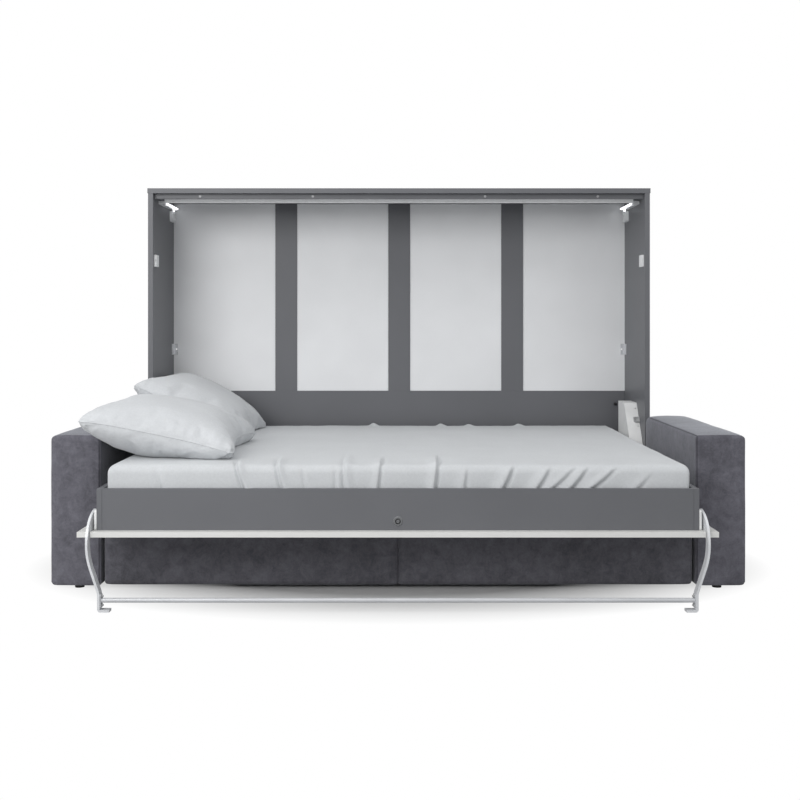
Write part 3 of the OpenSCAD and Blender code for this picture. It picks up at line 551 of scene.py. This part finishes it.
def fold(x, along, x_top, x_low, back, height, width):
    """The rise of a fold: a ridge with one steep side, and a groove at the foot of that side."""
    down = np.clip(along / SHEET_FRONT, -3.0, 1.3)
    lean = x_low - x_top
    bent = down**2 * FOLD_BEND + down * (1.0 - FOLD_BEND)
    centre = x_top + lean * np.where(down > 0, bent, FOLD_BEND_BACK * down)
    on_front, on_top = np.clip(down, 0.0, 1.0), np.clip(-down, 0.0, 1.0)
    spread = width * (1.0 + FOLD_WIDER * on_front + FOLD_WIDER_BACK * on_top)
    across = (x - centre) / spread * (1.0 if lean >= 0 else -1.0)
    ridge = np.exp(-((across / np.where(across < 0, STEEP, GENTLE)) ** 2))
    groove = GROOVE_DEPTH * np.exp(-(((across + GROOVE_AT) / GROOVE_WIDE) ** 2))
    starts = (-back - 0.035, -back + 0.03) if back < 0 else (-back - 0.07, -0.2 * back)
    return FOLD_HEIGHT * height * (ridge - groove) * smoothstep(*starts, along)


def pucker(x, from_back, from_top, x_back, height):
    """The rise of a pucker, which leans and widens as it runs forward from the back edge."""
    reach = np.clip(from_back, 0.0, PUCKER_REACH)
    across = (x - x_back - PUCKER_LEAN * reach) / (PUCKER_WIDE + PUCKER_WIDER * reach)
    rise = height * np.exp(-(across**2)) * smoothstep(PUCKER_REACH, 0.03, from_back)
    return rise * smoothstep(0.06, 0.01, from_top)


def fitted_sheet():
    """The mattress in its sheet, with folds over the front edge and puckers along the back."""
    lo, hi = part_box("mattress")
    hi.z += SHEET_PLUMP
    hi.x += SHEET_WIDER
    ys = np.concatenate(
        [
            np.arange(lo.y, lo.y + FINE_FRONT, FINE),
            np.arange(lo.y + FINE_FRONT, hi.y - FINE_BACK, COARSE),
            spaced(hi.y - FINE_BACK, hi.y, FINE),
        ]
    )
    points, quads = box_grid([spaced(lo.x, hi.x, ACROSS), ys, spaced(lo.z, hi.z, FINE)])
    skin, outward = rounded(points, lo, hi, SHEET_LOW, SHEET_HIGH, SHEET_SQUARE)
    x, y, z = skin.T
    along = (hi.z - z) - (y - lo.y)  # down the front from the top edge, negative on the top
    ending = smoothstep(FOLD_END, FOLD_FADE, along)
    near_front = smoothstep(FOLD_BACK, FOLD_BACK_FADE, y - lo.y)
    rise = np.zeros(len(skin))
    for row in FOLDS:
        rise += fold(x, along, *row) * ending * near_front
    for row in PUCKERS:
        rise += pucker(x, hi.y - y, hi.z - z, *row)
    drawn = [noise.noise(Vector((p[0] * 22.0, p[1] * 5.0 + p[2] * 5.0, 0.3))) for p in skin]
    soft = wander(skin, (2.4, 0.0022, 1.0), (8.0, 0.0012, 2.0)) + np.array(drawn) * 0.0009
    skin = skin + outward * (rise + soft - SHEET_SUNK)[:, None]
    skin[:, 2] = np.maximum(skin[:, 2], lo.z)
    mattress = piece("mattress_in_sheet", skin, quads, "sheet_cotton", "bed")
    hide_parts("mattress")


fitted_sheet()


# ---------------------------------------------------------------- pillows

PILLOW_COLUMNS, PILLOW_ROWS = 84, 96
# The case: how squarely it fills across and along, how square and how much thinner its corners
# are, how far its sides are drawn in, and how much fuller its underside is
FULL_ACROSS, FULL_ALONG = 2.3, 4.5
CORNER, CORNERS_THINNER = 12, 0.55
DRAWN_IN = 0.065
UNDER_FULLER = 1.3
# Its filling: the settings of Blender's cloth, and the furthest that a point may move
CLOTH = {
    "quality": 6,
    "mass": 0.25,
    "tension_stiffness": 22.0,
    "compression_stiffness": 22.0,
    "shear_stiffness": 8.0,
    "bending_stiffness": 0.12,
    "shrink_min": -0.035,
    "use_pressure": True,
    "uniform_pressure_force": 2.0,
}
CLOTH_FRAMES = 20
RIPPLE_SIDEWAYS = 0.2  # of the uneven start, by its height
MOST_MOVED = 0.024
# Its creases along the seam: how close along and across it, height, reach, flat strip at the seam
CREASE_ALONG, CREASE_ACROSS = 52.0, 8.0
CREASE_HEIGHT, CREASE_REACH, CREASE_START = 0.0080, 0.045, 0.008
TIP_DROOP = 0.014
PRESSED = 0.006  # the depth over which its underside is flattened on the mattress
CORD_RADIUS, CORD_SIDES = 0.0026, 6


def pillow_case(width, length, thickness):
    """A plump case of two sheets sewn along their edges.

    Returns its points and quads, the seam's loop, and the place of each point from -1 to 1."""
    nu, nv = PILLOW_COLUMNS, PILLOW_ROWS
    index, points, faces, places = {}, [], [], []

    def drawn_in(a, b):
        return 1.0 - DRAWN_IN * (1.0 - b * b) * abs(a) ** 3

    def vertex(i, j, side):
        rim = i in (0, nu) or j in (0, nv)
        key = (i, j, 0 if rim else side)
        if key not in index:
            u, v = math.sin(math.pi * (i / nu - 0.5)), math.sin(math.pi * (j / nv - 0.5))
            full = math.sqrt((1.0 - abs(u) ** FULL_ACROSS) * (1.0 - abs(v) ** FULL_ALONG))
            full *= (1.0 if side > 0 else UNDER_FULLER) * (1.0 - CORNERS_THINNER * abs(u * v) ** 5)
            blunt = max(1.0, (abs(u) ** CORNER + abs(v) ** CORNER) ** (1 / CORNER))
            index[key] = len(points)
            places.append((u, v))
            x = u / blunt * width / 2 * drawn_in(u, v)
            y = v / blunt * length / 2 * drawn_in(v, u)
            points.append((x, y, 0.0 if rim else side * thickness / 2 * full))
        return index[key]

    for side in (1, -1):
        for i in range(nu):
            for j in range(nv):
                corners = ((i, j), (i + 1, j), (i + 1, j + 1), (i, j + 1))
                quad = [vertex(a, b, side) for a, b in corners]
                faces.append(quad if side > 0 else quad[::-1])
    around = [(i, 0) for i in range(nu)] + [(nu, j) for j in range(nv)]
    around += [(i, nv) for i in range(nu, 0, -1)] + [(0, j) for j in range(nv, 0, -1)]
    loop = [index[i, j, 0] for i, j in around]
    return np.array(points), faces, loop, np.array(places)


def inflate(points, faces, seed):
    """Fills the case by cloth simulation: its cloth grows a little, and crumples along the seam."""
    mesh = bpy.data.meshes.new("filling")
    ripple = wander(points, (17.0, 0.004, seed), (6.0, 0.006, seed + 9))
    inside = np.abs(points[:, 2]) > 1e-6
    sideways = ripple * RIPPLE_SIDEWAYS
    start = points + np.column_stack((sideways, sideways, ripple * inside))
    mesh.from_pydata([tuple(p) for p in start], [], faces)
    cloth_object = bpy.data.objects.new("filling", mesh)
    scene.collection.objects.link(cloth_object)
    cloth = cloth_object.modifiers.new("cloth", "CLOTH")
    for key, value in CLOTH.items():
        setattr(cloth.settings, key, value)
    cloth.settings.effector_weights.gravity = 0.0
    cloth.collision_settings.use_collision = False
    cloth.point_cache.frame_start = 1
    cloth.point_cache.frame_end = CLOTH_FRAMES
    for step in range(1, CLOTH_FRAMES + 1):
        scene.frame_set(step)
    ready = cloth_object.evaluated_get(bpy.context.evaluated_depsgraph_get())
    result = np.array([v.co for v in ready.data.vertices])
    scene.frame_set(1)
    bpy.data.objects.remove(cloth_object)
    for side in (1, -1):  # each side keeps the height that the case gave it
        half = side * points[:, 2] > 1e-6
        height = (side * points[half, 2]).max()
        result[half, 2] *= height / max((side * result[half, 2]).max(), 1e-6)
    moved = result - points
    far = np.linalg.norm(moved, axis=1)
    return points + moved * np.minimum(1.0, MOST_MOVED / np.maximum(far, 1e-9))[:, None]


def turned(points, roll, tilt, yaw):
    """Points turned about X, then Y, then Z, in degrees."""
    turn = Matrix.Rotation(math.radians(roll), 3, "X")
    for degrees, axis in ((tilt, "Y"), (yaw, "Z")):
        turn = Matrix.Rotation(math.radians(degrees), 3, axis) @ turn
    return points @ np.array(turn).T


def cord_along(line):
    """The seam's piping: a thin tube along a closed line."""
    count = len(line)
    ahead = np.roll(line, -1, axis=0) - np.roll(line, 1, axis=0)
    ahead /= np.linalg.norm(ahead, axis=1)[:, None]
    up = np.array([0.0, 0.0, 1.0])
    side = np.cross(ahead, up)
    side /= np.maximum(np.linalg.norm(side, axis=1), 1e-6)[:, None]
    top = np.cross(side, ahead)
    ring = []
    for s in range(CORD_SIDES):
        angle = 2 * math.pi * s / CORD_SIDES
        ring.append(line + CORD_RADIUS * (math.cos(angle) * side + math.sin(angle) * top))
    verts = np.stack(ring, axis=1).reshape(-1, 3)
    faces = []
    for i in range(count):
        here, there = i * CORD_SIDES, (i + 1) % count * CORD_SIDES
        for s in range(CORD_SIDES):
            t = (s + 1) % CORD_SIDES
            faces.append((here + s, here + t, there + t, there + s))
    return verts, faces


def join_mesh(made, verts, faces):
    """Adds faces to a piece's mesh, with its material."""
    extra = bpy.data.meshes.new("extra")
    extra.from_pydata([tuple(v) for v in verts], [], faces)
    extra.polygons.foreach_set("use_smooth", [True] * len(extra.polygons))
    work = bmesh.new()
    work.from_mesh(made.data)
    work.from_mesh(extra)
    work.to_mesh(made.data)
    work.free()
    bpy.data.meshes.remove(extra)


def pillow(name, node, case, centre, turns, seed):
    """A filled case, puckered along its seam and pressed flat where it rests on the mattress."""
    points, faces, loop, places = pillow_case(*case)
    points = inflate(points, faces, seed)
    u, v = places.T
    width, length, thickness = case
    edge_x, edge_y = (1.0 - np.abs(u)) * width / 2, (1.0 - np.abs(v)) * length / 2
    side = np.sign(points[:, 2])
    for edge, run in ((edge_x, points[:, 1]), (edge_y, points[:, 0])):
        at = zip(run * CREASE_ALONG, edge * CREASE_ACROSS, side * 3.0 + seed)
        crease = np.array([noise.noise(Vector(place)) for place in at])
        near = np.exp(-edge / CREASE_REACH) * smoothstep(0.0, CREASE_START, edge)
        points[:, 2] += side * CREASE_HEIGHT * crease * near
    points[:, 2] -= TIP_DROOP * (np.abs(u) * np.abs(v)) ** 3
    points = turned(points, *turns) + np.array(centre)
    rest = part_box("mattress")[1].z + SHEET_PLUMP
    low = points[:, 2] < rest + PRESSED
    depth = (rest + PRESSED - points[low, 2]) / PRESSED
    points[low, 2] = rest + PRESSED * np.exp(-depth)
    made = piece(name, points, faces, "pillow_cotton", "bed")
    join_mesh(made, *cord_along(points[loop]))
    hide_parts(node)
    return made


# Piece, node, the case's size, centre, turns about X, Y and Z in degrees, seed
PILLOWS = [
    (
        "pillow_near", "pillow_front",
        (0.568, 0.690, 0.190), (-0.859, -0.264, 0.583), (0.3, 12.0, 1.0), 3,
    ),
    (
        "pillow_far", "pillow_back",
        (0.506, 0.610, 0.184), (-0.862, 0.3645, 0.606), (0.0, 28.0, -4.0), 5,
    ),
]
for row in PILLOWS:
    made = pillow(*row)
    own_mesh(made)


# ---------------------------------------------------------------- sofa

# Radii of a block's edges: inner, outer, front, back, below, above
ARM_EDGES = (0.008, 0.020, 0.009, 0.030, 0.012, 0.016)
SEAT_EDGES = (0.003, 0.022, 0.014, 0.014, 0.012, 0.014)
UPHOLSTERED_SQUARE = 2.6
PADDING = 0.0035  # how far the covers stand out in the middle of each side
PADDING_FLAT = 6  # an even power: how wide that middle is
SEWN_DEPTH = 0.0030
SEAM_IN = 0.004  # from a block's inner face to its sewn line
SEAM_WIDE = 0.0022
SEAM_STEP, SEAM_BAND = 0.0015, 0.012  # the mesh beside a sewn line
ARM_STEP = 0.013
CROWN_FRONT, CROWN_BACK = 0.001, 0.005  # the armrest's dome, and how much more it has at the back
CROWN_AT = 0.52  # its top, across from the inner side
CROWN_FROM = 0.80  # up the block
BACK_FALL, BACK_FALL_FROM = 0.016, 0.93  # how far it falls at the back, and from where

ARM_VELVET = PAINTS["velvet"]
# The seats' velvet is a darker copy of the arms': painted shade for the shadow of the bed panel
# above them.
SEAT_VELVET_PAINTED_SHADE = velvet("velvet_seat_painted_shade", (0.118, 0.116, 0.132))


def upholstered(name, node, axes, low_r, high_r, crown, seam, seed, paint):
    """A velvet-covered block with uneven padding, through the given coordinates on each axis.

    crown(part) lifts its top, and seam(points) is 1 on its sewn lines."""
    lo, hi = (np.array(v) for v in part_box(node))
    points, quads = box_grid(axes)
    skin, outward = rounded(points, lo, hi, low_r, high_r, UPHOLSTERED_SQUARE)
    part = (points - lo) / (hi - lo)
    in_x, in_y, in_z = (1 - (2 * part - 1) ** PADDING_FLAT).T
    flat = in_x * np.maximum(in_y, in_z)
    uneven = wander(skin, (4.0, 0.0016, seed), (13.0, 0.00056, seed + 3))
    sewn = seam(points)
    skin += outward * (uneven + PADDING * flat - SEWN_DEPTH * sewn)[:, None]
    skin[:, 1] = np.minimum(skin[:, 1], hi[1])  # the folded bed stands close behind
    skin[:, 2] += crown(part) * smoothstep(CROWN_FROM, 1.0, part[:, 2])
    made = piece(name, skin, quads, "velvet", "root")
    made.data.materials[0] = paint.material
    # The seam attribute marks where the velvet paints shade along the sewn groove.
    mark = made.data.attributes.new("seam", "FLOAT", "POINT")
    mark.data.foreach_set("value", sewn.astype(np.float32))
    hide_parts(node)


def radii(side, inner, outer, front, back, below, above):
    """The radii at a block's low x, y and z sides, and at its high sides."""
    low_x, high_x = (inner, outer) if side > 0 else (outer, inner)
    return (low_x, front, below), (high_x, back, above)


def armrest(side, name, seed):
    """Domed on top, with a sewn line along the top's inner edge and down the front's inner edge."""
    lo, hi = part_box(f"armrest_{name}")
    inner = lo.x if side > 0 else hi.x
    fine_x = inner + side * np.arange(0.0, SEAM_BAND + 0.0001, SEAM_STEP)
    coarse_x = inner + side * spaced(0.022, hi.x - lo.x, 0.011)
    fine_y = np.arange(lo.y, lo.y + SEAM_BAND, SEAM_STEP)
    fine_z = np.arange(hi.z - SEAM_BAND, hi.z + 0.0001, SEAM_STEP)
    axes = (
        np.unique(np.concatenate([fine_x, coarse_x]).round(5)),
        np.concatenate([fine_y, spaced(lo.y + 0.020, hi.y, ARM_STEP)]),
        np.concatenate([spaced(lo.z, hi.z - 0.020, ARM_STEP), fine_z]),
    )

    def crown(part):
        across = part[:, 0] if side > 0 else 1.0 - part[:, 0]
        dome = np.clip(1.0 - ((across - CROWN_AT) / CROWN_AT) ** 2, 0.0, 1.0)
        fall = BACK_FALL * smoothstep(BACK_FALL_FROM, 1.0, part[:, 1]) ** 2
        return (CROWN_FRONT + CROWN_BACK * part[:, 1]) * dome - fall

    def seam(points):
        away = np.abs(np.abs(points[:, 0] - inner) - SEAM_IN)
        on_top, on_front = points[:, 2] > hi.z - 1e-6, points[:, 1] < lo.y + 1e-6
        return np.where(on_top | on_front, np.exp(-((away / SEAM_WIDE) ** 2)), 0.0)

    edges = radii(side, *ARM_EDGES)
    upholstered(
        f"sofa_arm_{name}", f"armrest_{name}", axes, *edges, crown, seam, seed, ARM_VELVET
    )


def seat(side, name, seed):
    """Half of the seat: its ends meet in the middle at a tight seam and are rounded outside."""
    lo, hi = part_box(f"seat_{name}")
    axes = (spaced(lo.x, hi.x, 0.014), spaced(lo.y, hi.y, 0.016), spaced(lo.z, hi.z, 0.010))

    def plain(points):
        return np.zeros(len(points))

    edges = radii(side, *SEAT_EDGES)
    upholstered(
        f"sofa_seat_{name}", f"seat_{name}", axes, *edges, plain, plain, seed, SEAT_VELVET_PAINTED_SHADE
    )


for side, name, arm_seed, seat_seed in ((-1, "left", 12, 14), (1, "right", 11, 13)):
    armrest(side, name, arm_seed)
    seat(side, name, seat_seed)


# ---------------------------------------------------------------- floor

FLOOR_REACH = 20.0
FLOOR_PLAIN, FLOOR_SHOWN = 0.55, 0.58
WHITE_X, WHITE_Y = 1.27, 0.77  # the distances at which it turns white
WHITE_FROM, WHITE_TO = 0.70, 1.18  # as parts of them


def floor_paint():
    """To the camera, shadows near the object and pure white further out. Else plain and pale."""
    p = Paint("floor", (0.8, 0.8, 0.8), 0.9, Specular_IOR_Level=0.0)
    by_camera = p.node("ShaderNodeLightPath").outputs["Is Camera Ray"]
    p.tint(by_camera, (FLOOR_PLAIN,) * 3, (FLOOR_SHOWN,) * 3)
    reach = p.node("ShaderNodeVectorMath", operation="LENGTH")
    p.link(p.stretched((1.0 / WHITE_X, 1.0 / WHITE_Y, 1.0)), reach.inputs[0])
    far = p.ramp(reach.outputs["Value"], WHITE_FROM, WHITE_TO, 0.0, 1.0)
    glow = p.node("ShaderNodeEmission")
    glow.inputs["Strength"].default_value = 1.0
    join = p.node("ShaderNodeMixShader")
    p.link(p.math("MULTIPLY", far, by_camera), join.inputs["Fac"])
    p.link(p.shader.outputs[0], join.inputs[1])
    p.link(glow.outputs[0], join.inputs[2])
    p.link(join.outputs[0], p.tree.nodes["Material Output"].inputs["Surface"])
    return p.material


corners = [(x * FLOOR_REACH, y * FLOOR_REACH, 0.0) for x, y in ((-1, -1), (1, -1), (1, 1), (-1, 1))]
floor_mesh = bpy.data.meshes.new("floor")
floor_mesh.from_pydata(corners, [], [(0, 1, 2, 3)])
floor_mesh.materials.append(floor_paint())
floor = bpy.data.objects.new("floor", floor_mesh)
scene.collection.objects.link(floor)
